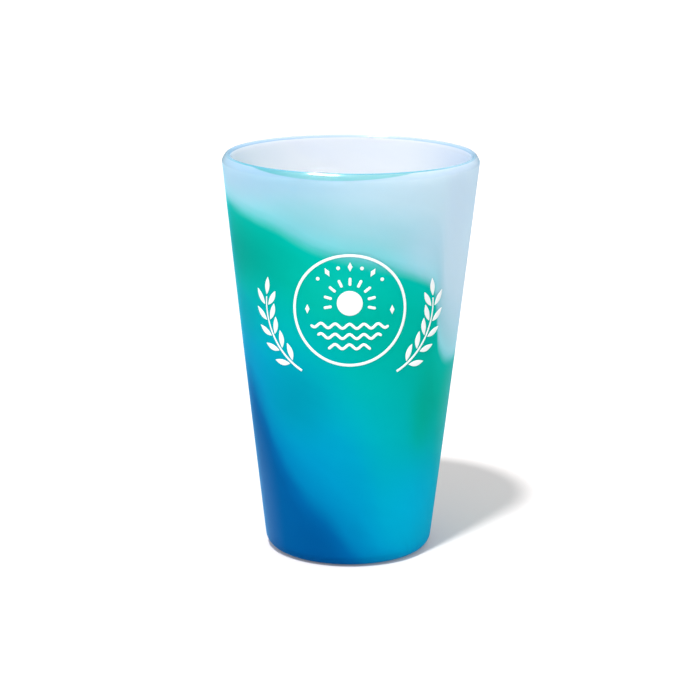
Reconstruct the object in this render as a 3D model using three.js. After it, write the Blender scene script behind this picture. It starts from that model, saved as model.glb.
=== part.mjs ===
// A silicone pint glass: one moulded, tapered cup with a rounded lip, a filleted base and a
// shallow recess under the foot, and a one-colour decoration printed on its front.
// Each island of printed ink is a thin film of its own, curved to the wall that it sits on.
//
// Millimetres, +Z up. The origin is the centre of the foot, and the decoration faces -Y.

import * as THREE from "three";

// ---------------------------------------------------------------- cup, outside
const HEIGHT = 140;
const RIM_LINE_RADIUS = 44.5; // where the straight wall would meet the top plane
const FOOT_LINE_RADIUS = 28.8; // where it would meet the ground
const WALL_BOW = 0.2; // the wall bulges this much at mid-height
const BASE_FILLET = 4.8;
const LIP_INSET = 2.0; // the lip's crest lies this far inside the wall line
const LIP_DROP = 2.6; // and its outer rounding starts this far below the top
const LIP_FULLNESS = 1.4; // of that rounding: 2 would be a quarter ellipse, 1 a straight bevel

// ---------------------------------------------------------------- cup, inside
const WALL_AT_LIP = 3.0;
const WALL_AT_BASE = 3.5;
const LIP_INNER_DROP = 1.6; // height of the lip's rounding on the inside
const FLOOR_HEIGHT = 5.2; // inside floor above the ground
const FLOOR_FILLET = 8;

// ---------------------------------------------------------------- foot
const RECESS_DEPTH = 1.0;
const RECESS_RADIUS = 17;
const RECESS_CHAMFER = 0.8;

// ---------------------------------------------------------------- ink film
const PRINT_HEIGHT = 93.5; // the badge's centre above the ground
const INK_THICKNESS = 0.15;
const INK_GAP = 0.03; // keeps a film clear of the faceted wall behind it
const STROKE = 0.95;
const TIP_WIDTH = 0.12; // pointed ends stay this blunt

// ---------------------------------------------------------------- badge
const RING_RADIUS = 19.1; // to the middle of its stroke

const SUN_CENTRE = 2.6; // above the badge's centre
const SUN_RADIUS = 4.3;
const RAY_COUNT = 9;
const RAY_START = 6.1; // from the sun's centre
const RAY_END = 8.9;
const RAY_DIP = 12; // degrees that the outermost rays point below level

const WAVE_HALF_LENGTHS = [13.2, 10.8, 7.2];
const WAVE_TOP = -5.4; // height of the first wave line
const WAVE_PITCH = 3.6;
const WAVE_LENGTH = 4.8;
const WAVE_AMPLITUDE = 0.75;

const DIAMOND_LENGTH = 3.2;
const DIAMOND_WIDTH = 1.6;
const DOT_RADIUS = 0.62;
const ARCH_MARKS = 7; // diamonds and dots by turns, over the sun
const ARCH_RADIUS = 15.2;
const ARCH_STEP = 15; // degrees between neighbouring marks
const SIDE_DIAMOND_OFFSET = 14.4;

// ---------------------------------------------------------------- leaf sprays
const SPRAY_SEMI_WIDTH = 31; // the stem follows an ellipse round the badge
const SPRAY_SEMI_HEIGHT = 26;
const SPRAY_START = -58; // degrees round the ellipse, from level
const SPRAY_END = 5;
const STEM_STROKE = 0.8;
const STEM_TAPER = 0.45; // share of its width that a stem loses by its tip
const LEAF_PAIRS = 5;
const FIRST_LEAF = 0.15; // shares of the stem's length
const LAST_LEAF = 0.9;
const LEAF_LENGTH = 6.2;
const LEAF_WIDTH = 2.0;
const LEAF_ANGLE = 33; // degrees between a leaf and its stem
const LEAF_CURL = 1.25; // above 1 a leaf bends back towards its stem
const LEAF_CLEARANCE = 0.8; // from the stem's centre line to a leaf's foot
const LEAF_FULLNESS = 0.85; // below 1 a leaf's outline is fuller than a sine

// ---------------------------------------------------------------- facets
const CUP_SEGMENTS = 96;
const FILLET_STEPS = 5;
const WALL_STEPS = 3;
const RING_SEGMENTS = 72;
const SUN_SEGMENTS = 32;
const DOT_SEGMENTS = 14;
const DISC_RINGS = 3;
const RAY_STEPS = 10;
const DIAMOND_STEPS = 4;
const WAVE_STEPS_PER_MM = 2;
const STEM_STEPS = 24;
const LEAF_STEPS = 8;

const QUARTER_TURN = Math.PI / 2;
const WALL_LEAN = Math.atan2(RIM_LINE_RADIUS - FOOT_LINE_RADIUS, HEIGHT);
const radians = THREE.MathUtils.degToRad;
const lerp = THREE.MathUtils.lerp;

// The outside radius of the wall at a height, with its slight bow.
function outerRadius(z) {
  const share = z / HEIGHT;
  const bow = WALL_BOW * 4 * share * (1 - share);
  return lerp(FOOT_LINE_RADIUS, RIM_LINE_RADIUS, share) + bow;
}

function innerRadius(z) {
  return outerRadius(z) - lerp(WALL_AT_BASE, WALL_AT_LIP, z / HEIGHT);
}

// Points of an elliptical arc between two angles, in the order given.
function arc(centre, radiusX, radiusY, from, to) {
  const curve = new THREE.EllipseCurve(centre.x, centre.y, radiusX, radiusY, from, to, to < from);
  return curve.getPoints(FILLET_STEPS);
}

// The lip's outer rounding, a quarter of a superellipse from the wall up to the crest.
function lipRounding(centre, width, height) {
  return Array.from({ length: FILLET_STEPS + 1 }, (_, i) => {
    const angle = (QUARTER_TURN * i) / FILLET_STEPS;
    const across = Math.max(Math.cos(angle), 0) ** (2 / LIP_FULLNESS);
    const up = Math.sin(angle) ** (2 / LIP_FULLNESS);
    return new THREE.Vector2(centre.x + width * across, centre.y + height * up);
  });
}

// Wall points at even heights strictly between two others.
function wall(radiusAt, from, to) {
  return Array.from({ length: WALL_STEPS }, (_, i) => {
    const z = lerp(from, to, (i + 1) / (WALL_STEPS + 1));
    return new THREE.Vector2(radiusAt(z), z);
  });
}

// The half section of the cup, from the axis under the foot, up the outside and down the inside.
function cupProfile() {
  const baseCentre = new THREE.Vector2(
    FOOT_LINE_RADIUS + BASE_FILLET * Math.tan(WALL_LEAN) - BASE_FILLET / Math.cos(WALL_LEAN),
    BASE_FILLET,
  );
  const baseFillet = arc(baseCentre, BASE_FILLET, BASE_FILLET, -QUARTER_TURN, -WALL_LEAN);

  const outerStart = HEIGHT - LIP_DROP;
  const crest = outerRadius(HEIGHT) - LIP_INSET;
  const outerLipWidth = outerRadius(outerStart) - crest;
  const lipOutside = lipRounding(new THREE.Vector2(crest, outerStart), outerLipWidth, LIP_DROP);

  const innerStart = HEIGHT - LIP_INNER_DROP;
  const innerLipWidth = crest - innerRadius(innerStart);
  const lipInside = arc(
    new THREE.Vector2(crest, innerStart),
    innerLipWidth,
    LIP_INNER_DROP,
    QUARTER_TURN,
    Math.PI,
  );

  const filletTop = FLOOR_HEIGHT + FLOOR_FILLET;
  const floorCentre = new THREE.Vector2(innerRadius(filletTop) - FLOOR_FILLET, filletTop);
  const floorFillet = arc(floorCentre, FLOOR_FILLET, FLOOR_FILLET, 0, -QUARTER_TURN);

  return [
    new THREE.Vector2(0, RECESS_DEPTH),
    new THREE.Vector2(RECESS_RADIUS, RECESS_DEPTH),
    new THREE.Vector2(RECESS_RADIUS + RECESS_CHAMFER, 0),
    ...baseFillet,
    ...wall(outerRadius, BASE_FILLET, outerStart),
    ...lipOutside,
    ...lipInside.slice(1),
    ...wall(innerRadius, innerStart, filletTop),
    ...floorFillet,
    new THREE.Vector2(0, FLOOR_HEIGHT),
  ];
}

function cupGeometry() {
  return new THREE.LatheGeometry(cupProfile(), CUP_SEGMENTS).rotateX(QUARTER_TURN);
}

// Bends a flat film onto the wall. On the flat film, x runs round the cup, y is the height
// above the badge's centre, and z is the height above the film's own back face.
function wrapOnWall(flat) {
  const position = flat.getAttribute("position");
  for (let i = 0; i < position.count; i++) {
    const height = PRINT_HEIGHT + position.getY(i);
    const wallRadius = outerRadius(height);
    const angle = position.getX(i) / wallRadius;
    const radius = wallRadius + INK_GAP + position.getZ(i);
    position.setXYZ(i, radius * Math.sin(angle), -radius * Math.cos(angle), height);
  }
  return flat;
}

// A flat round film turned from its half section.
function turnedFilm(centreX, centreY, radii, closed, segments) {
  const back = radii.map((r) => new THREE.Vector2(r, 0));
  const front = radii.map((r) => new THREE.Vector2(r, INK_THICKNESS)).reverse();
  const profile = closed ? [...back, ...front, back[0].clone()] : [...back, ...front];
  const film = new THREE.LatheGeometry(profile, segments).rotateX(QUARTER_TURN);
  return film.translate(centreX, centreY, 0);
}

// A disc is made of concentric rings, so that it bends smoothly.
function discFilm(centreX, centreY, radius, segments) {
  const radii = Array.from({ length: DISC_RINGS + 1 }, (_, i) => (radius * i) / DISC_RINGS);
  return turnedFilm(centreX, centreY, radii, false, segments);
}

function ringFilm(radius) {
  return turnedFilm(0, 0, [radius - STROKE / 2, radius + STROKE / 2], true, RING_SEGMENTS);
}

// A flat stroke along a plane curve. widthAt gives its full width at each share of its length.
function strokeFilm(curve, widthAt, steps) {
  const flat = new THREE.BoxGeometry(1, 1, 1, steps, 1, 1);
  const position = flat.getAttribute("position");
  for (let i = 0; i < position.count; i++) {
    const share = THREE.MathUtils.clamp(position.getX(i) + 0.5, 0, 1);
    const centre = curve.getPoint(share);
    const along = curve.getTangent(share);
    const aside = position.getY(i) * Math.max(widthAt(share), TIP_WIDTH);
    const height = (position.getZ(i) + 0.5) * INK_THICKNESS;
    position.setXYZ(i, centre.x - along.y * aside, centre.y + along.x * aside, height);
  }
  return flat;
}

// ---------------------------------------------------------------- stroke widths
function diamondWidth(share) {
  return DIAMOND_WIDTH * (1 - Math.abs(2 * share - 1));
}

function stemWidth(share) {
  return STEM_STROKE * (1 - STEM_TAPER * share);
}

function leafWidth(share) {
  return LEAF_WIDTH * Math.sin(Math.PI * share) ** LEAF_FULLNESS;
}

// An even stroke of the given length with round ends.
function roundEnded(length) {
  return (share) => {
    const fromEnd = Math.min(share, 1 - share) * length;
    const reach = Math.min(fromEnd / (STROKE / 2), 1);
    return STROKE * Math.sqrt(1 - (1 - reach) ** 2);
  };
}

// ---------------------------------------------------------------- sub-parts
const cupMaterial = new THREE.MeshStandardMaterial({ color: 0x12a2b8, roughness: 0.5, metalness: 0 });
const inkMaterial = new THREE.MeshStandardMaterial({ color: 0xf4f9fa, roughness: 0.6, metalness: 0 });

const pintGlass = new THREE.Group();

function add(name, geometry, material) {
  const mesh = new THREE.Mesh(geometry, material);
  mesh.name = name;
  pintGlass.add(mesh);
}

function addInk(name, flat) {
  add(name, wrapOnWall(flat), inkMaterial);
}

// A point at a distance and an angle from another.
function offset(from, distance, angle) {
  return new THREE.Vector2(Math.cos(angle), Math.sin(angle)).multiplyScalar(distance).add(from);
}

function addSun() {
  const centre = new THREE.Vector2(0, SUN_CENTRE);
  addInk("print_sun", discFilm(centre.x, centre.y, SUN_RADIUS, SUN_SEGMENTS));
  for (let i = 0; i < RAY_COUNT; i++) {
    const angle = radians(lerp(-RAY_DIP, 180 + RAY_DIP, i / (RAY_COUNT - 1)));
    const line = new THREE.LineCurve(offset(centre, RAY_START, angle), offset(centre, RAY_END, angle));
    addInk(`print_sun_ray_${i + 1}`, strokeFilm(line, roundEnded(RAY_END - RAY_START), RAY_STEPS));
  }
}

// A level wavy line centred on the badge.
class WaveCurve extends THREE.Curve {
  constructor(halfLength, height) {
    super();
    this.halfLength = halfLength;
    this.height = height;
  }

  getPoint(share, target = new THREE.Vector2()) {
    const x = this.halfLength * (2 * share - 1);
    const swing = WAVE_AMPLITUDE * Math.cos((2 * Math.PI * x) / WAVE_LENGTH);
    return target.set(x, this.height + swing);
  }
}

function addWaves() {
  WAVE_HALF_LENGTHS.forEach((halfLength, i) => {
    const wave = new WaveCurve(halfLength, WAVE_TOP - i * WAVE_PITCH);
    const steps = Math.round(2 * halfLength * WAVE_STEPS_PER_MM);
    addInk(`print_wave_${i + 1}`, strokeFilm(wave, roundEnded(2 * halfLength), steps));
  });
}

function addDiamond(name, centre, angle) {
  const half = DIAMOND_LENGTH / 2;
  const line = new THREE.LineCurve(offset(centre, -half, angle), offset(centre, half, angle));
  addInk(name, strokeFilm(line, diamondWidth, DIAMOND_STEPS));
}

// Diamonds and dots by turns in an arch over the sun, and a diamond at each side of it.
function addMarks() {
  const badgeCentre = new THREE.Vector2(0, 0);
  for (let i = 0; i < ARCH_MARKS; i++) {
    const angle = QUARTER_TURN + radians(((ARCH_MARKS - 1) / 2 - i) * ARCH_STEP);
    const centre = offset(badgeCentre, ARCH_RADIUS, angle);
    if (i % 2 === 0) {
      addInk(`print_dot_${i / 2 + 1}`, discFilm(centre.x, centre.y, DOT_RADIUS, DOT_SEGMENTS));
    } else {
      addDiamond(`print_arch_diamond_${(i + 1) / 2}`, centre, angle);
    }
  }
  addDiamond("print_side_diamond_left", new THREE.Vector2(-SIDE_DIAMOND_OFFSET, 0), QUARTER_TURN);
  addDiamond("print_side_diamond_right", new THREE.Vector2(SIDE_DIAMOND_OFFSET, 0), QUARTER_TURN);
}

// A leaf whose foot is beside the stem, and which leaves it at the angle lean.
function leafCurve(stemPoint, heading, lean) {
  const start = offset(stemPoint, LEAF_CLEARANCE, heading + Math.sign(lean) * QUARTER_TURN);
  const middle = offset(start, LEAF_LENGTH / 2, heading + lean * LEAF_CURL);
  const end = offset(start, LEAF_LENGTH, heading + lean);
  return new THREE.QuadraticBezierCurve(start, middle, end);
}

// side is -1 for the spray on the left of the badge and 1 for the one on the right.
function addSpray(side, name) {
  const from = radians(SPRAY_START);
  const to = radians(SPRAY_END);
  const stem = new THREE.EllipseCurve(0, 0, side * SPRAY_SEMI_WIDTH, SPRAY_SEMI_HEIGHT, from, to);
  addInk(`spray_${name}_stem`, strokeFilm(stem, stemWidth, STEM_STEPS));

  for (let i = 0; i < LEAF_PAIRS; i++) {
    const share = lerp(FIRST_LEAF, LAST_LEAF, i / (LEAF_PAIRS - 1));
    const point = stem.getPoint(share);
    const heading = stem.getTangent(share).angle();
    const outer = leafCurve(point, heading, -side * radians(LEAF_ANGLE));
    const inner = leafCurve(point, heading, side * radians(LEAF_ANGLE));
    addInk(`spray_${name}_outer_leaf_${i + 1}`, strokeFilm(outer, leafWidth, LEAF_STEPS));
    addInk(`spray_${name}_inner_leaf_${i + 1}`, strokeFilm(inner, leafWidth, LEAF_STEPS));
  }

  const heading = stem.getTangent(1).angle();
  const start = offset(stem.getPoint(1), LEAF_CLEARANCE, heading);
  const tip = new THREE.LineCurve(start, offset(start, LEAF_LENGTH, heading));
  addInk(`spray_${name}_tip_leaf`, strokeFilm(tip, leafWidth, LEAF_STEPS));
}

add("cup", cupGeometry(), cupMaterial);
addInk("print_ring", ringFilm(RING_RADIUS));
addSun();
addWaves();
addMarks();
addSpray(-1, "left");
addSpray(1, "right");

export default pintGlass;
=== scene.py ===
# A marbled silicone pint glass on a plain white floor, in soft studio light.
# The cup is frosted clear silicone at the top, with layers of teal, cyan, blue and navy silicone
# sweeping round it below, a glossy rounded lip and a satin wall. Its white print is a generic
# badge between two leaf sprays.

import math
from types import SimpleNamespace

import bmesh
import bpy
from mathutils import Matrix, Vector


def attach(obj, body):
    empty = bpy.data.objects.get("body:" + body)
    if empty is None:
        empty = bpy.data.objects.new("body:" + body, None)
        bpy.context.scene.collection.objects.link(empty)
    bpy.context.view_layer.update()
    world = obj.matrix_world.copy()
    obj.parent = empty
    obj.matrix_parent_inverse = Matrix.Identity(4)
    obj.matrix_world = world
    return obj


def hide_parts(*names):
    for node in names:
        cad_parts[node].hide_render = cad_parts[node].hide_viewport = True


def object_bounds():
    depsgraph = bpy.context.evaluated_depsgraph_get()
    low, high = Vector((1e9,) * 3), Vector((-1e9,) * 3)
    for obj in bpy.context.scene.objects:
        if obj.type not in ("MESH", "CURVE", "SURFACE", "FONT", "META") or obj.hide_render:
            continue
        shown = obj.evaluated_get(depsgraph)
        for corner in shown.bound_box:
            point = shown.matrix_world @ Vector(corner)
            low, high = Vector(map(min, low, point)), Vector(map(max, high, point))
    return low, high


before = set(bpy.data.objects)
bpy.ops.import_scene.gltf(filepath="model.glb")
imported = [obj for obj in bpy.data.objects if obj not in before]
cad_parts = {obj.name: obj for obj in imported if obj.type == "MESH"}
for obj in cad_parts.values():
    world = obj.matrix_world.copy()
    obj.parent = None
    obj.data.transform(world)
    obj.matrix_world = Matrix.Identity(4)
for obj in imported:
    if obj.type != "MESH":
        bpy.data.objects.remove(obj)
CAD_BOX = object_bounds()

MM = 0.001  # Blender works in metres, and the sizes here are millimetres
HEIGHT = CAD_BOX[1].z / MM

# ---------------------------------------------------------------- cup, as in the CAD model
RIM_LINE_RADIUS = 44.5
FOOT_LINE_RADIUS = 28.8
WALL_BOW = 0.2
BASE_FILLET = 4.8
LIP_INSET = 2.0
LIP_DROP = 2.6
LIP_FULLNESS = 1.4
WALL_AT_LIP = 3.0
WALL_AT_BASE = 3.5
LIP_INNER_DROP = 1.6
FLOOR_HEIGHT = 5.2
FLOOR_FILLET = 8.0
RECESS_DEPTH = 1.0
RECESS_RADIUS = 17.0
RECESS_CHAMFER = 0.8

# ---------------------------------------------------------------- print, as in the CAD model
PRINT_HEIGHT = 93.5
STROKE = 0.95
INK_HEIGHT = 0.13  # the film's top above the wall
INK_DEPTH = 0.05  # and how far its back goes into it
RING_RADIUS = 19.1
SUN_CENTRE = 2.6
SUN_RADIUS = 4.3
RAY_COUNT = 9
RAY_START = 6.1
RAY_END = 8.9
RAY_DIP = 12
WAVE_HALF_LENGTHS = (13.2, 10.8, 7.2)
WAVE_TOP = -5.4
WAVE_PITCH = 3.6
WAVE_LENGTH = 4.8
WAVE_AMPLITUDE = 0.75
DIAMOND_LENGTH = 3.2
DIAMOND_WIDTH = 1.6
DOT_RADIUS = 0.62
ARCH_MARKS = 7
ARCH_RADIUS = 15.2
ARCH_STEP = 15
SIDE_DIAMOND_OFFSET = 14.4
SPRAY_SEMI_WIDTH = 31.0
SPRAY_SEMI_HEIGHT = 26.0
SPRAY_START = -58
SPRAY_END = 5
STEM_STROKE = 0.8
STEM_TAPER = 0.45
LEAF_PAIRS = 5
FIRST_LEAF = 0.15
LAST_LEAF = 0.9
LEAF_LENGTH = 6.2
LEAF_WIDTH = 2.0
LEAF_ANGLE = 33
LEAF_CURL = 1.25
LEAF_CLEARANCE = 0.8
LEAF_FULLNESS = 0.85

WALL_LEAN = math.atan2(RIM_LINE_RADIUS - FOOT_LINE_RADIUS, HEIGHT)


def lerp(a, b, share):
    return a + (b - a) * share


def outer_radius(z):
    share = z / HEIGHT
    return lerp(FOOT_LINE_RADIUS, RIM_LINE_RADIUS, share) + WALL_BOW * 4 * share * (1 - share)


def inner_radius(z):
    return outer_radius(z) - lerp(WALL_AT_BASE, WALL_AT_LIP, z / HEIGHT)


# ---------------------------------------------------------------- camera
CAMERA_DISTANCE = 801.4
CAMERA_ELEVATION = math.radians(13.95)
CAMERA_ROLL = 0.0075
CAMERA_AIM = (0.18, 0, HEIGHT / 2 + 0.37)
LENS = 117.7
SENSOR_WIDTH = 36


def make_camera():
    data = bpy.data.cameras.new("camera")
    data.sensor_width = SENSOR_WIDTH
    data.lens = LENS
    camera = bpy.data.objects.new("camera", data)
    back = Vector((0, -math.cos(CAMERA_ELEVATION), math.sin(CAMERA_ELEVATION)))
    camera.location = (Vector(CAMERA_AIM) + back * CAMERA_DISTANCE) * MM
    upright = Matrix.Rotation(math.pi / 2 - CAMERA_ELEVATION, 4, "X")
    camera.rotation_euler = (upright @ Matrix.Rotation(CAMERA_ROLL, 4, "Z")).to_euler()
    bpy.context.scene.collection.objects.link(camera)
    bpy.context.scene.camera = camera


# ---------------------------------------------------------------- node helpers
NOISE_ROUGHNESS = 0.45


def linear(code):
    """A web colour such as "12a0b4" as linear RGBA."""
    values = [int(code[i : i + 2], 16) / 255 for i in (0, 2, 4)]
    return [v / 12.92 if v <= 0.04045 else ((v + 0.055) / 1.055) ** 2.4 for v in values] + [1]


class Nodes:
    """Short calls that add shader nodes and link them. An input is a number, a colour or a socket."""

    def __init__(self, tree):
        self.tree = tree
        tree.nodes.clear()

    def feed(self, socket, value):
        if isinstance(value, bpy.types.NodeSocket):
            self.tree.links.new(value, socket)
        else:
            socket.default_value = value

    def add(self, kind, inputs=(), **settings):
        node = self.tree.nodes.new(kind)
        for key, value in settings.items():
            setattr(node, key, value)
        for key, value in dict(inputs).items():
            self.feed(node.inputs[key], value)
        return node

    def math(self, operation, *values):
        node = self.add("ShaderNodeMath", operation=operation)
        for socket, value in zip(node.inputs, values):
            self.feed(socket, value)
        return node.outputs[0]

    def ramp_between(self, value, low, high, smooth=True):
        """0 where value is at or past low, 1 at or past high."""
        kind = "SMOOTHSTEP" if smooth else "LINEAR"
        node = self.add("ShaderNodeMapRange", interpolation_type=kind, clamp=True)
        for socket, given in zip(node.inputs, (value, low, high, 0.0, 1.0)):
            self.feed(socket, given)
        return node.outputs[0]

    def mix(self, share, a, b):
        node = self.add("ShaderNodeMix", data_type="RGBA")
        self.feed(node.inputs[0], share)
        self.feed(node.inputs[6], a)
        self.feed(node.inputs[7], b)
        return node.outputs[2]

    def colours(self, value, stops, interpolation="LINEAR"):
        """A colour ramp. stops is (position, web colour) from low to high."""
        node = self.add("ShaderNodeValToRGB", {"Fac": value})
        ramp = node.color_ramp
        ramp.interpolation = interpolation
        while len(ramp.elements) < len(stops):
            ramp.elements.new(1)
        for element, (position, code) in zip(ramp.elements, stops):
            element.position = position
            element.color = linear(code)
        return node.outputs[0]

    def noise(self, place, scale, detail=2.0):
        """Soft noise from -1 to 1. scale is per metre."""
        inputs = {"Vector": place, "Scale": scale, "Detail": detail, "Roughness": NOISE_ROUGHNESS}
        noise = self.add("ShaderNodeTexNoise", inputs).outputs["Fac"]
        return self.math("MULTIPLY_ADD", noise, 2.0, -1.0)

    def curve(self, value, points):
        """A smooth curve through points, whose numbers all lie from 0 to 1."""
        node = self.add("ShaderNodeFloatCurve", {"Value": value})
        line = node.mapping.curves[0]
        while len(line.points) < len(points):
            line.points.new(0.5, 0.5)
        for point, place in zip(line.points, points):
            point.location = place
            point.handle_type = "AUTO"
        node.mapping.update()
        return node.outputs[0]

    def finish(self, shader, kind="ShaderNodeOutputMaterial"):
        """Links a shader to a new output node."""
        output = self.add(kind)
        self.tree.links.new(shader.outputs[0], output.inputs["Surface"])


def new_material(name):
    material = bpy.data.materials.new(name)
    material.use_nodes = True
    return material, Nodes(material.node_tree)


# ---------------------------------------------------------------- silicone
# Each layer of silicone ends at a line that runs round the cup: (degrees from the front, height).
CLEAR_ENDS = (
    (-180, 88), (-150, 99), (-115, 118), (-82, 127), (-54, 124), (-34, 120), (-14, 114),
    (8, 109.5), (32, 105), (42, 102), (49, 90), (55, 76), (66, 71.5), (95, 75), (135, 81), (180, 88),
)
GREEN_ENDS = (
    (-180, 70), (-130, 86), (-85, 98), (-60, 95), (-36, 89), (-12, 79), (0, 71), (12, 65),
    (25, 61), (38, 53), (48, 44), (60, 42), (90, 42), (135, 54), (180, 70),
)
CYAN_ENDS = (
    (-180, 46), (-130, 62), (-90, 76), (-60, 76), (-36, 64), (-12, 50), (2, 42), (14, 30),
    (30, 14), (60, 8), (100, 12), (140, 28), (180, 46),
)
NAVY_STARTS = (
    (-180, 20), (-130, 44), (-92, 66), (-75, 67), (-60, 59), (-48, 45), (-30, 30), (-12, 20),
    (4, 10), (20, 2), (60, 1), (110, 3), (145, 9), (180, 20),
)
NAVY_DEPTH = 14.0  # the navy reaches its full strength this far below its start
LAYER_COLOURS = (
    (0.00, "00bcae"),
    (0.06, "00b6a4"),
    (0.14, "00b09e"),
    (0.25, "00b0ae"),
    (0.36, "00acba"),
    (0.50, "009ec2"),
    (0.64, "0094c2"),
    (0.75, "0080b6"),
    (0.88, "0064a4"),
    (1.00, "005a9a"),
)
CLEAR_BLEND = (-3.5, 1.5)  # mm about the clear silicone's end, over which it takes over
CLEAR_SPAN = 50.0  # the clear silicone's colours are spread over this height above its end
CLEAR_COLOURS = (
    (0.00, "5cc4c4"),
    (0.07, "84cfd6"),
    (0.16, "92cbd4"),
    (0.24, "9cccd7"),
    (0.32, "a6cfdc"),
    (0.48, "bad7e8"),
    (0.64, "c0d9ed"),
    (1.00, "c0d6ef"),
)
# Soft ovals of colour: (degrees, height), (degrees, mm) from centre to edge, colour, strength.
LAYER_PATCHES = (
    ((-58, 110), (46, 18), "009c8e", 0.7),
    ((-4, 100), (30, 16), "08bcaa", 0.7),
    ((-66, 88), (30, 12), "009eac", 0.6),
    # Painted shade: darker teal at the upper left edge, where the wall shows less haze than the sheen
    # gives.
    ((-96, 108), (40, 22), "008a84", 0.45),
    ((-30, 61), (36, 24), "0090a8", 0.75),
    ((46, 56), (15, 20), "00a894", 0.9),
    ((-24, 6), (26, 20), "005494", 0.8),
    ((50, 20), (48, 28), "00b0da", 0.8),
    # Painted reflection: a lavender haze on the navy at the lower left edge, standing in for the bright
    # floor mirrored at a slant.
    ((-96, 12), (51, 62), "6c94cc", 0.62),
    # Painted sheen: pale teal towards the right edge stands in for the haze the satin wall shows at a slant
    # there.
    ((102, 54), (46, 42), "7cd4dc", 0.58),
)
CLEAR_PATCHES = (
    ((-62, 140), (70, 22), "a6c4e0", 0.9),
    ((-30, 140), (64, 13), "94bcd2", 0.6),
    ((-26, 122), (26, 12), "84c0cc", 0.5),
    ((38, 112), (24, 20), "b8d2e8", 0.55),
    # Partly the clear silicone's own bluer tone, partly painted light: the right side is paler, standing in
    # for the haze and brighter light seen there.
    ((104, 110), (74, 80), "bcdaff", 0.9),
)
INSIDE_BLEND = (-0.4, 0.6)  # mm inwards from the lip's crest, over which the inside starts
INSIDE_CLEAR = "e8ebff"
LINING_RISE = 14.0  # inside, the clear colours turn into the lining's over this height
# Painted light and shade: the lining is lighter on the left, which the key lamp leaves in shade, and darker
# on the right, which it lights.
INSIDE_PAINTED_LIGHT_PATCHES = (((-100, 130), (60, 40), "e0f2ff", 0.9), ((100, 130), (60, 40), "c2d2fa", 0.85))
INSIDE_TOP_PAINTED_SHADE = "c4d2f6"  # painted shade: the lining turns a little darker and bluer towards the lip, where it catches the most light
INSIDE_TOP_START = 126.0
INSIDE_TOP_STRENGTH = 0.25
INSIDE_GLOW = 0.045  # painted glow: the lining glows a little, standing in for light that comes in through the clear wall
FOOT_SHADE = "003a7a"  # painted shade: the colours deepen towards this at the foot, whose rounding faces down
FOOT_SHADE_TOP = 7.0
FOOT_SHADE_STRENGTH = 0.24

CLOUD_SCALE = 26.0  # per metre: broad drifts that bend the layers' edges
CLOUD_DRIFT = 3.0  # mm up or down
STREAK_SCALE = 42.0  # thinner streaks that follow the layers
STREAK_THINNESS = 3.5  # how much shorter a streak is across the layers than along them
STREAK_DRIFT = 1.2
STREAK_SHADE = 0.035  # and how much lighter or darker they are
GRAIN_SCALE = 1300.0  # the satin finish
GRAIN_HEIGHT = 0.004  # mm
RIPPLE_SCALE = 85.0  # the slight waves of a soft moulded wall
RIPPLE_HEIGHT = 0.035

SILICONE_IOR = 1.41
WALL_ROUGHNESS = 0.5
WALL_ROUGHNESS_CHANGE = 0.05
WALL_SPECULAR = 0.01  # the satin wall mirrors almost nothing, which keeps its colours deep
WALL_SPECULAR_TINT = (0.1, 0.8, 1.0, 1)
LAYER_SCATTER = 0.2  # the share of the light that scatters inside the coloured layers
CLEAR_SCATTER = 0.8  # and how much more does in the clear silicone
SCATTER_DEPTH = 10.0  # mm
SHEEN = 0.35  # the pale haze of a satin surface that is seen at a slant
SHEEN_ROUGHNESS = 0.25
SHEEN_TINT = (0.08, 0.5, 0.85, 1)
# The colour of the painted glow on the lining.
LINING_GLOW = (0.7, 0.82, 1.0, 1)

LIP_START = HEIGHT - LIP_DROP
LIP_FADE = 0.5  # mm about the lip's start, over which the wall's finish turns into the lip's
LIP_POLISH = 0.27  # the lip is this much less rough than the wall
LIP_COAT = 0.6
LIP_COAT_ROUGHNESS = 0.02
LIP_PAINTED_SHADE_SHARE = 0.14  # painted shade: the outside of the lip, which faces up into the light, is this much darker than the wall
LIP_PAINTED_SHADE_FADE = (-0.3, 0.5)  # mm about the lip's start
LIP_SHADE = "4a6ab0"
LIP_REFRACTION_CENTRE = -10.0  # degrees: where the painted refraction is deepest, an aqua band that stands in for the green layers seen through the clear lip
LIP_REFRACTION_REACH = 44.0
LIP_REFRACTION_START = LIP_START + 0.3
LIP_REFRACTION_RISE = 2.3  # how much higher its lower edge is at the ends of its reach
LIP_REFRACTION_FADE = (-0.15, 0.25)  # mm about that edge
LIP_REFRACTION_ENDS = 0.6  # it fades out from here to 1, as a share of its reach squared
LIP_REFRACTION_COLOUR = "7ebac2"
LIP_REFRACTION_PATCH = ((-44, 140), (30, 8), "4c9ca8", 0.85)
CREST_START = 139.5  # a deeper line runs round the crest above this height
CREST_INNER_DROP = 0.55  # and this much further down the inside
CREST_FADE = 0.2  # mm
# Its colour by how far round the cup it is from the aqua band's centre, as a share of half a turn.
CREST_COLOURS = ((0.0, "4c9cb8"), (0.25, "4c9cb8"), (0.36, "86b2d0"), (0.6, "90b2d8"), (1.0, "a2bade"))


def edge_height(nodes, turn, line):
    """Height of a layer's edge in millimetres, at turn, which runs from 0 to 1 round the cup."""
    points = [((degrees + 180) / 360, height / HEIGHT) for degrees, height in line]
    return nodes.math("MULTIPLY", nodes.curve(turn, points), HEIGHT)


def patch(nodes, colour, place, centre, reach, code, strength):
    """Mixes a soft-edged oval of another colour in. place is (degrees, height) as sockets."""
    across, up = (
        nodes.math("DIVIDE", nodes.math("SUBTRACT", at, float(middle)), float(size))
        for at, middle, size in zip(place, centre, reach)
    )
    squares = nodes.math("ADD", nodes.math("POWER", across, 2.0), nodes.math("POWER", up, 2.0))
    share = nodes.ramp_between(nodes.math("SQRT", squares), 1.0, 0.0)
    return nodes.mix(nodes.math("MULTIPLY", share, strength), colour, linear(code))


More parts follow.
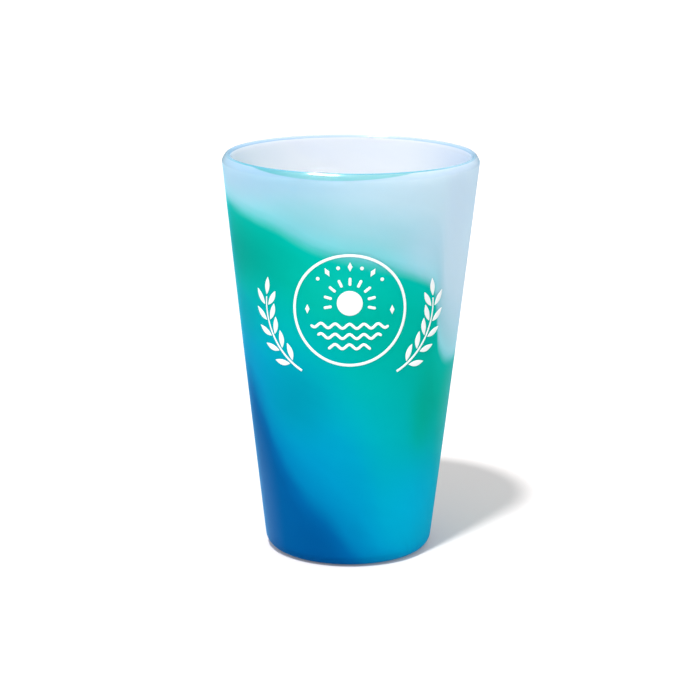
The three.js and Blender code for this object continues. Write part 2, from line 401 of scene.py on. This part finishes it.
def cup_place(nodes):
    """Sockets that say where a point of the cup is."""
    position = nodes.add("ShaderNodeTexCoord").outputs["Object"]
    x, y, z = nodes.add("ShaderNodeSeparateXYZ", {0: position}).outputs
    height = nodes.math("DIVIDE", z, MM)
    angle = nodes.math("ARCTAN2", x, nodes.math("MULTIPLY", y, -1.0))
    radius = nodes.math("SQRT", nodes.math("ADD", nodes.math("POWER", x, 2.0), nodes.math("POWER", y, 2.0)))
    wall_line = nodes.math("MULTIPLY_ADD", height, math.tan(WALL_LEAN), FOOT_LINE_RADIUS)
    behind_wall = nodes.math("SUBTRACT", wall_line, nodes.math("DIVIDE", radius, MM))
    return SimpleNamespace(
        position=position,
        x=x,
        y=y,
        height=height,
        degrees=nodes.math("DEGREES", angle),
        turn=nodes.math("MULTIPLY_ADD", angle, 1 / (2 * math.pi), 0.5),
        inside=nodes.ramp_between(behind_wall, *(LIP_INSET + shift for shift in INSIDE_BLEND)),
    )


def marbling(nodes, place):
    """The layers' colour, with its painted light, shade and reflections, and 1 where the silicone is clear.
    """
    clear_end = edge_height(nodes, place.turn, CLEAR_ENDS)
    from_edge = nodes.math("SUBTRACT", place.height, clear_end)
    across_layers = nodes.math("MULTIPLY", from_edge, STREAK_THINNESS * MM)
    layer_place = nodes.add("ShaderNodeCombineXYZ", {0: place.x, 1: place.y, 2: across_layers}).outputs[0]
    streaks = nodes.noise(layer_place, STREAK_SCALE, detail=3.0)
    level = nodes.math("MULTIPLY_ADD", nodes.noise(place.position, CLOUD_SCALE), CLOUD_DRIFT, place.height)
    level = nodes.math("MULTIPLY_ADD", streaks, STREAK_DRIFT, level)
    spot = (place.degrees, level)

    navy_start = edge_height(nodes, place.turn, NAVY_STARTS)
    edges = (
        clear_end,
        edge_height(nodes, place.turn, GREEN_ENDS),
        edge_height(nodes, place.turn, CYAN_ENDS),
        navy_start,
        nodes.math("SUBTRACT", navy_start, NAVY_DEPTH),
    )
    depth = 0.0
    for top, bottom in zip(edges, edges[1:]):
        depth = nodes.math("ADD", depth, nodes.ramp_between(level, top, bottom, smooth=False))
    layers = nodes.colours(nodes.math("DIVIDE", depth, float(len(edges) - 1)), LAYER_COLOURS)
    for oval in LAYER_PATCHES:
        layers = patch(nodes, layers, spot, *oval)
    # Painted shade at the foot.
    foot_shade_share = nodes.math("MULTIPLY", nodes.ramp_between(level, FOOT_SHADE_TOP, 0.0), FOOT_SHADE_STRENGTH)
    layers = nodes.mix(foot_shade_share, layers, linear(FOOT_SHADE))

    above = nodes.math("SUBTRACT", level, clear_end)
    clear = nodes.colours(nodes.math("DIVIDE", above, CLEAR_SPAN), CLEAR_COLOURS)
    for oval in CLEAR_PATCHES:
        clear = patch(nodes, clear, spot, *oval)
    lining = linear(INSIDE_CLEAR)
    # Painted light and shade on the lining, to even out how the lamps light it.
    for oval in INSIDE_PAINTED_LIGHT_PATCHES:
        lining = patch(nodes, lining, spot, *oval)
    # Painted shade on the lining near the lip.
    near_lip = nodes.ramp_between(place.height, INSIDE_TOP_START, HEIGHT)
    lining = nodes.mix(nodes.math("MULTIPLY", near_lip, INSIDE_TOP_STRENGTH), lining, linear(INSIDE_TOP_PAINTED_SHADE))
    lined = nodes.math("MULTIPLY", place.inside, nodes.ramp_between(above, 0.0, LINING_RISE))
    clear = nodes.mix(lined, clear, lining)
    clearness = nodes.ramp_between(above, *CLEAR_BLEND)
    value = nodes.math("MULTIPLY_ADD", streaks, STREAK_SHADE, 1.0)
    colour = nodes.mix(clearness, layers, clear)
    colour = nodes.add("ShaderNodeHueSaturation", {"Value": value, "Color": colour}).outputs[0]
    return colour, clearness


def lip_colours(nodes, place, colour):
    """The colour with painted shade on the outside of the lip, a painted aqua refraction along its front
    and its crest line laid over it.
    """
    outside = nodes.math("SUBTRACT", 1.0, place.inside)
    # Painted shade: the outside of the lip is darkened, as it faces up into the light.
    on_lip = nodes.ramp_between(place.height, *(LIP_START + shift for shift in LIP_PAINTED_SHADE_FADE))
    painted_lip_shade = nodes.math("MULTIPLY", nodes.math("MULTIPLY", on_lip, outside), LIP_PAINTED_SHADE_SHARE)
    colour = nodes.mix(painted_lip_shade, colour, linear(LIP_SHADE))

    # Painted refraction: an aqua band along the front of the lip stands in for the green layers seen
    # through the clear silicone.
    from_centre = nodes.math("SUBTRACT", place.degrees, LIP_REFRACTION_CENTRE)
    off_centre = nodes.math("POWER", nodes.math("DIVIDE", from_centre, LIP_REFRACTION_REACH), 2.0)
    refraction_end = nodes.math("MULTIPLY_ADD", off_centre, LIP_REFRACTION_RISE, LIP_REFRACTION_START)
    above_end = nodes.ramp_between(nodes.math("SUBTRACT", place.height, refraction_end), *LIP_REFRACTION_FADE)
    refracted_share = nodes.math("MULTIPLY", above_end, nodes.ramp_between(off_centre, 1.0, LIP_REFRACTION_ENDS))
    lip_refraction = patch(nodes, linear(LIP_REFRACTION_COLOUR), (place.degrees, place.height), *LIP_REFRACTION_PATCH)
    colour = nodes.mix(nodes.math("MULTIPLY", refracted_share, outside), colour, lip_refraction)

    round_crest = nodes.math("ABSOLUTE", nodes.math("DIVIDE", from_centre, 180.0))
    crest_height = nodes.math("MULTIPLY_ADD", place.inside, CREST_INNER_DROP, place.height)
    crest = nodes.ramp_between(crest_height, CREST_START, CREST_START + CREST_FADE)
    return nodes.mix(crest, colour, nodes.colours(round_crest, CREST_COLOURS))


def silicone():
    """Satin marbled silicone, glossy on the lip, with a painted glow on the clear lining."""
    material, nodes = new_material("silicone")
    place = cup_place(nodes)
    colour, clearness = marbling(nodes, place)
    lip = nodes.ramp_between(place.height, LIP_START - LIP_FADE, LIP_START + LIP_FADE)
    painted_glow_share = nodes.math("MULTIPLY", place.inside, clearness)
    patchy = nodes.noise(place.position, RIPPLE_SCALE, detail=4.0)
    roughness = nodes.math("MULTIPLY_ADD", patchy, WALL_ROUGHNESS_CHANGE, WALL_ROUGHNESS)
    grain = nodes.noise(place.position, GRAIN_SCALE, detail=1.0)
    relief = nodes.math("MULTIPLY", grain, GRAIN_HEIGHT * MM)
    relief = nodes.math("MULTIPLY_ADD", patchy, RIPPLE_HEIGHT * MM, relief)
    relief = nodes.math("MULTIPLY", relief, nodes.math("SUBTRACT", 1.0, lip))
    shader = nodes.add(
        "ShaderNodeBsdfPrincipled",
        {
            "Base Color": lip_colours(nodes, place, colour),
            "Roughness": nodes.math("MULTIPLY_ADD", lip, -LIP_POLISH, roughness),
            "Normal": nodes.add("ShaderNodeBump", {"Height": relief, "Distance": 1.0}).outputs[0],
            "IOR": SILICONE_IOR,
            "Specular IOR Level": WALL_SPECULAR,
            "Specular Tint": WALL_SPECULAR_TINT,
            "Subsurface Weight": nodes.math("MULTIPLY_ADD", clearness, CLEAR_SCATTER, LAYER_SCATTER),
            "Subsurface Radius": (1, 1, 1),
            "Subsurface Scale": SCATTER_DEPTH * MM,
            # Painted glow on the clear lining, in place of light that comes in through the wall.
            "Emission Color": LINING_GLOW,
            "Emission Strength": nodes.math("MULTIPLY", painted_glow_share, INSIDE_GLOW),
            "Coat Weight": nodes.math("MULTIPLY", lip, LIP_COAT),
            "Coat Roughness": LIP_COAT_ROUGHNESS,
            "Coat IOR": SILICONE_IOR,
            "Sheen Weight": SHEEN,
            "Sheen Roughness": SHEEN_ROUGHNESS,
            "Sheen Tint": SHEEN_TINT,
        },
    )
    nodes.finish(shader)
    return material


INK_COLOURS = ((0.0, "eef7f7"), (0.45, "fafcfc"), (1.0, "fdfefe"))
INK_CLOUD_SCALE = 220.0
INK_ROUGHNESS = 0.58
INK_ROUGHNESS_CHANGE = 0.08
INK_SPECULAR = 0.3
INK_GRAIN_SCALE = 1800.0
INK_GRAIN_HEIGHT = 0.008  # mm


def ink():
    """White printed silicone: matt, very slightly uneven in cover, with a fine pebbled skin."""
    material, nodes = new_material("white_ink")
    position = nodes.add("ShaderNodeTexCoord").outputs["Object"]
    cover = nodes.noise(position, INK_CLOUD_SCALE, detail=3.0)
    relief = nodes.math("MULTIPLY", nodes.noise(position, INK_GRAIN_SCALE), INK_GRAIN_HEIGHT * MM)
    shader = nodes.add(
        "ShaderNodeBsdfPrincipled",
        {
            "Base Color": nodes.colours(nodes.math("MULTIPLY_ADD", cover, 0.5, 0.5), INK_COLOURS),
            "Roughness": nodes.math("MULTIPLY_ADD", cover, INK_ROUGHNESS_CHANGE, INK_ROUGHNESS),
            "Normal": nodes.add("ShaderNodeBump", {"Height": relief, "Distance": 1.0}).outputs[0],
            "IOR": SILICONE_IOR,
            "Specular IOR Level": INK_SPECULAR,
        },
    )
    nodes.finish(shader)
    return material


# ---------------------------------------------------------------- cup
CUP_SEGMENTS = 256
ARC_STEPS = 24
WALL_STEPS = 48


def arc(centre, radius_x, radius_z, start, end):
    """Points on part of an ellipse, between two angles from the outward direction."""
    points = []
    for i in range(ARC_STEPS + 1):
        angle = lerp(start, end, i / ARC_STEPS)
        points.append((centre[0] + radius_x * math.cos(angle), centre[1] + radius_z * math.sin(angle)))
    return points


def lip_rounding(centre, width, height):
    """A quarter of a superellipse, from the wall up to the lip's crest."""
    points = []
    for i in range(ARC_STEPS + 1):
        angle = math.pi / 2 * i / ARC_STEPS
        across = max(math.cos(angle), 0) ** (2 / LIP_FULLNESS)
        up = math.sin(angle) ** (2 / LIP_FULLNESS)
        points.append((centre[0] + width * across, centre[1] + height * up))
    return points


def wall(radius_at, start, end):
    """Points on a wall between two heights, without its ends."""
    heights = [lerp(start, end, i / WALL_STEPS) for i in range(1, WALL_STEPS)]
    return [(radius_at(z), z) for z in heights]


def cup_profile():
    """(radius, height) from the middle of the underside, up the outside and down to the floor."""
    quarter = math.pi / 2
    base_x = FOOT_LINE_RADIUS + BASE_FILLET * (math.tan(WALL_LEAN) - 1 / math.cos(WALL_LEAN))
    outer_start = HEIGHT - LIP_DROP
    inner_start = HEIGHT - LIP_INNER_DROP
    crest = outer_radius(HEIGHT) - LIP_INSET
    fillet_top = FLOOR_HEIGHT + FLOOR_FILLET
    floor_x = inner_radius(fillet_top) - FLOOR_FILLET
    return [
        (0, RECESS_DEPTH),
        (RECESS_RADIUS, RECESS_DEPTH),
        (RECESS_RADIUS + RECESS_CHAMFER, 0),
        *arc((base_x, BASE_FILLET), BASE_FILLET, BASE_FILLET, -quarter, -WALL_LEAN),
        *wall(outer_radius, BASE_FILLET, outer_start),
        *lip_rounding((crest, outer_start), outer_radius(outer_start) - crest, LIP_DROP),
        *arc((crest, inner_start), crest - inner_radius(inner_start), LIP_INNER_DROP, quarter, math.pi)[1:],
        *wall(inner_radius, inner_start, fillet_top),
        *arc((floor_x, fillet_top), FLOOR_FILLET, FLOOR_FILLET, 0, -quarter),
        (0, FLOOR_HEIGHT),
    ]


def new_piece(name, mesh_maker, material, slot, *nodes):
    mesh = bpy.data.meshes.new(name)
    bm = bmesh.new()
    mesh_maker(bm)
    bmesh.ops.recalc_face_normals(bm, faces=bm.faces)
    bm.to_mesh(mesh)
    bm.free()
    for polygon in mesh.polygons:
        polygon.use_smooth = True
    mesh.materials.append(material)
    piece = bpy.data.objects.new(name, mesh)
    bpy.context.scene.collection.objects.link(piece)
    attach(piece, "root")
    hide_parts(*nodes)
    return piece


def turn_profile(bm, profile):
    """A turned skin. A point on the axis is one vertex, so the faces that meet it are triangles."""
    rings = []
    for radius, z in profile:
        if radius == 0:
            rings.append([bm.verts.new((0, 0, z * MM))] * CUP_SEGMENTS)
            continue
        ring = []
        for i in range(CUP_SEGMENTS):
            angle = 2 * math.pi * i / CUP_SEGMENTS
            place = Vector((radius * math.sin(angle), -radius * math.cos(angle), z))
            ring.append(bm.verts.new(place * MM))
        rings.append(ring)
    for low, high in zip(rings, rings[1:]):
        for i in range(CUP_SEGMENTS):
            j = (i + 1) % CUP_SEGMENTS
            corners = [low[i], low[j], high[j], high[i]]
            bm.faces.new(list(dict.fromkeys(corners)))


# ---------------------------------------------------------------- printed ink
RING_STEPS = 240
SUN_SEGMENTS = 96
SUN_RINGS = 8
RAY_STEPS = 40
WAVE_STEPS_PER_MM = 8
DOT_SEGMENTS = 40
DOT_RINGS = 3
DIAMOND_STEPS = 12
STEM_STEPS = 80
LEAF_STEPS = 32
THINNEST = 0.04  # mm: the width of a line at its pointed end


def on_wall(x, y, lift):
    """A point of the flat print, x round the wall and y up it, as a point on the cup in metres."""
    z = PRINT_HEIGHT + y
    wall_radius = outer_radius(z)
    angle = x / wall_radius
    radius = wall_radius + lift
    return Vector((radius * math.sin(angle), -radius * math.cos(angle), z)) * MM


# Half of a line's section: how far aside each point is, as a share of the half width, and its height.
HALF_SECTION = (
    (-1.0, -INK_DEPTH), (-1.0, 0.5 * INK_HEIGHT), (-0.93, 0.82 * INK_HEIGHT), (-0.8, INK_HEIGHT),
)
OTHER_HALF = tuple((-share, lift) for share, lift in reversed(HALF_SECTION))
LINE_SECTION = HALF_SECTION + ((0.0, INK_HEIGHT),) + OTHER_HALF
# A disc's top is flat as far as this share of its radius, and its shoulder goes down from there.
DISC_TOP = 0.97
DISC_SHOULDER = ((0.99, 0.7 * INK_HEIGHT), (1.0, 0.4 * INK_HEIGHT), (1.0, -INK_DEPTH))


def sweep(bm, sections, closed):
    """Joins sections, each a list of points, into one closed skin."""
    rows = [[bm.verts.new(p) for p in section] for section in sections]
    count = len(rows[0])
    pairs = list(zip(rows, rows[1:])) + ([(rows[-1], rows[0])] if closed else [])
    for a, b in pairs:
        for i in range(count):
            j = (i + 1) % count
            bm.faces.new((a[i], a[j], b[j], b[i]))
    if not closed:
        bm.faces.new(list(reversed(rows[0])))
        bm.faces.new(rows[-1])


def stroke(point_at, width_at, steps, closed=False):
    """A film along a line. point_at gives a flat point and width_at a full width, for a share of it."""

    def maker(bm):
        nudge = 1e-4
        sections = []
        for i in range(steps + (0 if closed else 1)):
            share = i / steps
            x, y = point_at(share)
            behind = point_at(share - nudge)
            ahead = point_at(share + nudge)
            along = Vector((ahead[0] - behind[0], ahead[1] - behind[1])).normalized()
            half = max(width_at(share), THINNEST) / 2
            section = []
            for aside, lift in LINE_SECTION:
                section.append(on_wall(x - along.y * aside * half, y + along.x * aside * half, lift))
            sections.append(section)
        sweep(bm, sections, closed)

    return maker


def disc(x, y, radius, segments, rings):
    """A round film with a rounded shoulder."""

    def maker(bm):
        levels = [(radius * (i / rings) * DISC_TOP, INK_HEIGHT) for i in range(1, rings + 1)]
        levels += [(radius * share, lift) for share, lift in DISC_SHOULDER]
        back = [(radius * (i / rings), -INK_DEPTH) for i in range(rings - 1, 0, -1)]
        front = bm.verts.new(on_wall(x, y, INK_HEIGHT))
        last = bm.verts.new(on_wall(x, y, -INK_DEPTH))
        loops = []
        for r, lift in levels + back:
            angles = [2 * math.pi * i / segments for i in range(segments)]
            places = [(x + r * math.cos(a), y + r * math.sin(a)) for a in angles]
            loops.append([bm.verts.new(on_wall(*flat, lift)) for flat in places])
        for i in range(segments):
            j = (i + 1) % segments
            bm.faces.new((front, loops[0][i], loops[0][j]))
            for low, high in zip(loops, loops[1:]):
                bm.faces.new((low[i], high[i], high[j], low[j]))
            bm.faces.new((loops[-1][j], loops[-1][i], last))

    return maker


def line(start, end):
    return lambda share: (lerp(start[0], end[0], share), lerp(start[1], end[1], share))


def offset(point, distance, angle):
    return (point[0] + distance * math.cos(angle), point[1] + distance * math.sin(angle))


def round_ended(length):
    """The width along a stroke of this length, whose two ends are half circles."""

    def width(share):
        from_end = max(min(share, 1 - share), 0) * length
        reach = min(from_end / (STROKE / 2), 1)
        return STROKE * math.sqrt(1 - (1 - reach) ** 2)

    return width


def diamond_width(share):
    return DIAMOND_WIDTH * (1 - abs(2 * share - 1))


def stem_width(share):
    return STEM_STROKE * (1 - STEM_TAPER * share)


def leaf_width(share):
    return LEAF_WIDTH * max(math.sin(math.pi * share), 0) ** LEAF_FULLNESS


def add_ink(node, maker, material):
    name = node.replace("print_", "ink_").replace("spray_", "ink_spray_")
    new_piece(name, maker, material, "ink", node)


def print_badge(material):
    """A ring round a sun over waves, with an arch of dots and diamonds above."""

    def ring_point(share):
        angle = 2 * math.pi * share
        return RING_RADIUS * math.cos(angle), RING_RADIUS * math.sin(angle)

    add_ink("print_ring", stroke(ring_point, lambda share: STROKE, RING_STEPS, closed=True), material)

    sun = (0, SUN_CENTRE)
    add_ink("print_sun", disc(*sun, SUN_RADIUS, SUN_SEGMENTS, SUN_RINGS), material)
    for i in range(RAY_COUNT):
        angle = math.radians(lerp(-RAY_DIP, 180 + RAY_DIP, i / (RAY_COUNT - 1)))
        ray = line(offset(sun, RAY_START, angle), offset(sun, RAY_END, angle))
        width_at = round_ended(RAY_END - RAY_START)
        add_ink(f"print_sun_ray_{i + 1}", stroke(ray, width_at, RAY_STEPS), material)

    for i, half_length in enumerate(WAVE_HALF_LENGTHS):
        middle = WAVE_TOP - i * WAVE_PITCH

        def wave(share, half_length=half_length, middle=middle):
            x = half_length * (2 * share - 1)
            return x, middle + WAVE_AMPLITUDE * math.cos(2 * math.pi * x / WAVE_LENGTH)

        steps = round(2 * half_length * WAVE_STEPS_PER_MM)
        add_ink(f"print_wave_{i + 1}", stroke(wave, round_ended(2 * half_length), steps), material)

    def diamond(node, centre, angle):
        half = DIAMOND_LENGTH / 2
        path = line(offset(centre, -half, angle), offset(centre, half, angle))
        add_ink(node, stroke(path, diamond_width, DIAMOND_STEPS), material)

    for i in range(ARCH_MARKS):
        angle = math.pi / 2 + math.radians(((ARCH_MARKS - 1) / 2 - i) * ARCH_STEP)
        centre = offset((0, 0), ARCH_RADIUS, angle)
        if i % 2 == 0:
            add_ink(f"print_dot_{i // 2 + 1}", disc(*centre, DOT_RADIUS, DOT_SEGMENTS, DOT_RINGS), material)
        else:
            diamond(f"print_arch_diamond_{(i + 1) // 2}", centre, angle)
    diamond("print_side_diamond_left", (-SIDE_DIAMOND_OFFSET, 0), math.pi / 2)
    diamond("print_side_diamond_right", (SIDE_DIAMOND_OFFSET, 0), math.pi / 2)


def leaf(stem_point, heading, lean):
    """A leaf's midrib, which starts beside the stem and leans further from it towards the tip."""
    start = offset(stem_point, LEAF_CLEARANCE, heading + math.copysign(math.pi / 2, lean))
    middle = offset(start, LEAF_LENGTH / 2, heading + lean * LEAF_CURL)
    end = offset(start, LEAF_LENGTH, heading + lean)

    def point(share):
        weights = ((1 - share) ** 2, 2 * share * (1 - share), share**2)
        corners = (start, middle, end)
        return tuple(sum(w * c[k] for w, c in zip(weights, corners)) for k in (0, 1))

    return point


def print_spray(side, name, material):
    """A curved stem with pairs of leaves. side is -1 for the left and 1 for the right."""

    def stem(share):
        angle = math.radians(lerp(SPRAY_START, SPRAY_END, share))
        return side * SPRAY_SEMI_WIDTH * math.cos(angle), SPRAY_SEMI_HEIGHT * math.sin(angle)

    def heading(share):
        angle = math.radians(lerp(SPRAY_START, SPRAY_END, share))
        return math.atan2(SPRAY_SEMI_HEIGHT * math.cos(angle), -side * SPRAY_SEMI_WIDTH * math.sin(angle))

    add_ink(f"spray_{name}_stem", stroke(stem, stem_width, STEM_STEPS), material)
    lean = math.radians(LEAF_ANGLE)
    for i in range(LEAF_PAIRS):
        share = lerp(FIRST_LEAF, LAST_LEAF, i / (LEAF_PAIRS - 1))
        outer = leaf(stem(share), heading(share), -side * lean)
        inner = leaf(stem(share), heading(share), side * lean)
        add_ink(f"spray_{name}_outer_leaf_{i + 1}", stroke(outer, leaf_width, LEAF_STEPS), material)
        add_ink(f"spray_{name}_inner_leaf_{i + 1}", stroke(inner, leaf_width, LEAF_STEPS), material)
    start = offset(stem(1), LEAF_CLEARANCE, heading(1))
    tip = line(start, offset(start, LEAF_LENGTH, heading(1)))
    add_ink(f"spray_{name}_tip_leaf", stroke(tip, leaf_width, LEAF_STEPS), material)


# ---------------------------------------------------------------- studio
KEY_AZIMUTH = -21.5  # degrees from the front, + to the right
KEY_ELEVATION = 64.0
KEY_ENERGY = 2.6
KEY_ANGLE = math.radians(5)  # how wide the lamp looks, which softens the shadow's edge
SKY_LIGHT = 0.66  # the room's soft light on the cup and the floor
SKY_SEEN = 1.02  # it looks pure white behind them
SKY_REFLECTED = 0.14  # and is dim in reflections
FLOOR_SIZE = 6.0  # metres from the middle to an edge
FLOOR_LIT = (0.62, 0.62, 0.62, 1)  # the paper as it lights the cup
FLOOR_GLOW = 0.22
FLOOR_SEEN = (0.805, 0.765, 0.755, 1)  # and as it looks, which stays white close to the foot
FLOOR_GLOW_SEEN = 0.116
SOFTBOX_AZIMUTH = -46
SOFTBOX_ELEVATION = 68
SOFTBOX_DISTANCE = 1.5
SOFTBOX_SIZE = (0.56, 0.08)
SOFTBOX_POWER = 130
WHITE = (1, 1, 1, 1)


def direction(azimuth, elevation):
    """Unit vector from the object, azimuth in degrees from the front and + to the right."""
    turn, rise = math.radians(azimuth), math.radians(elevation)
    return Vector((math.sin(turn) * math.cos(rise), -math.cos(turn) * math.cos(rise), math.sin(rise)))


def make_floor():
    mesh = bpy.data.meshes.new("floor")
    bm = bmesh.new()
    bmesh.ops.create_grid(bm, x_segments=1, y_segments=1, size=FLOOR_SIZE)
    bm.to_mesh(mesh)
    bm.free()
    material, nodes = new_material("floor_paper")
    seen = nodes.add("ShaderNodeLightPath").outputs["Is Camera Ray"]
    shader = nodes.add(
        "ShaderNodeBsdfPrincipled",
        {
            "Base Color": nodes.mix(seen, FLOOR_LIT, FLOOR_SEEN),
            "Roughness": 1.0,
            "Specular IOR Level": 0.0,
            "Emission Color": WHITE,
            "Emission Strength": nodes.math("MULTIPLY_ADD", seen, FLOOR_GLOW_SEEN - FLOOR_GLOW, FLOOR_GLOW),
        },
    )
    nodes.finish(shader)
    mesh.materials.append(material)
    floor = bpy.data.objects.new("floor", mesh)
    bpy.context.scene.collection.objects.link(floor)
    floor.visible_glossy = False


def make_sky():
    world = bpy.data.worlds.new("studio")
    world.use_nodes = True
    bpy.context.scene.world = world
    nodes = Nodes(world.node_tree)
    path = nodes.add("ShaderNodeLightPath").outputs
    strength = nodes.math("MULTIPLY_ADD", path["Is Camera Ray"], SKY_SEEN - SKY_LIGHT, SKY_LIGHT)
    strength = nodes.math("MULTIPLY_ADD", path["Is Glossy Ray"], SKY_REFLECTED - SKY_LIGHT, strength)
    background = nodes.add("ShaderNodeBackground", {"Color": WHITE, "Strength": strength})
    nodes.finish(background, "ShaderNodeOutputWorld")


def make_key():
    """The soft sun that casts the shadow. It doesn't show in reflections."""
    data = bpy.data.lights.new("key", "SUN")
    data.energy = KEY_ENERGY
    data.angle = KEY_ANGLE
    key = bpy.data.objects.new("key", data)
    towards = direction(KEY_AZIMUTH, KEY_ELEVATION)
    key.rotation_euler = towards.to_track_quat("Z", "Y").to_euler()
    key.location = towards
    key.visible_glossy = False
    bpy.context.scene.collection.objects.link(key)


def make_softbox():
    """A lamp that only shows in reflections, aimed at the middle of the cup's mouth."""
    data = bpy.data.lights.new("lip_softbox", "AREA")
    data.shape = "RECTANGLE"
    data.size, data.size_y = SOFTBOX_SIZE
    data.energy = SOFTBOX_POWER
    lamp = bpy.data.objects.new("lip_softbox", data)
    towards = direction(SOFTBOX_AZIMUTH, SOFTBOX_ELEVATION)
    lamp.location = Vector((0, 0, HEIGHT * MM)) + towards * SOFTBOX_DISTANCE
    lamp.rotation_euler = towards.to_track_quat("Z", "Y").to_euler()
    lamp.visible_camera = False
    lamp.visible_diffuse = False
    bpy.context.scene.collection.objects.link(lamp)


def set_view():
    settings = bpy.context.scene.view_settings
    settings.view_transform = "Standard"
    settings.look = "None"
    settings.exposure = 0
    settings.gamma = 1


make_camera()
make_floor()
make_sky()
make_key()
make_softbox()
set_view()
silicone_material = silicone()
ink_material = ink()
new_piece("cup_body", lambda bm: turn_profile(bm, cup_profile()), silicone_material, "silicone", "cup")
print_badge(ink_material)
print_spray(-1, "left", ink_material)
print_spray(1, "right", ink_material)
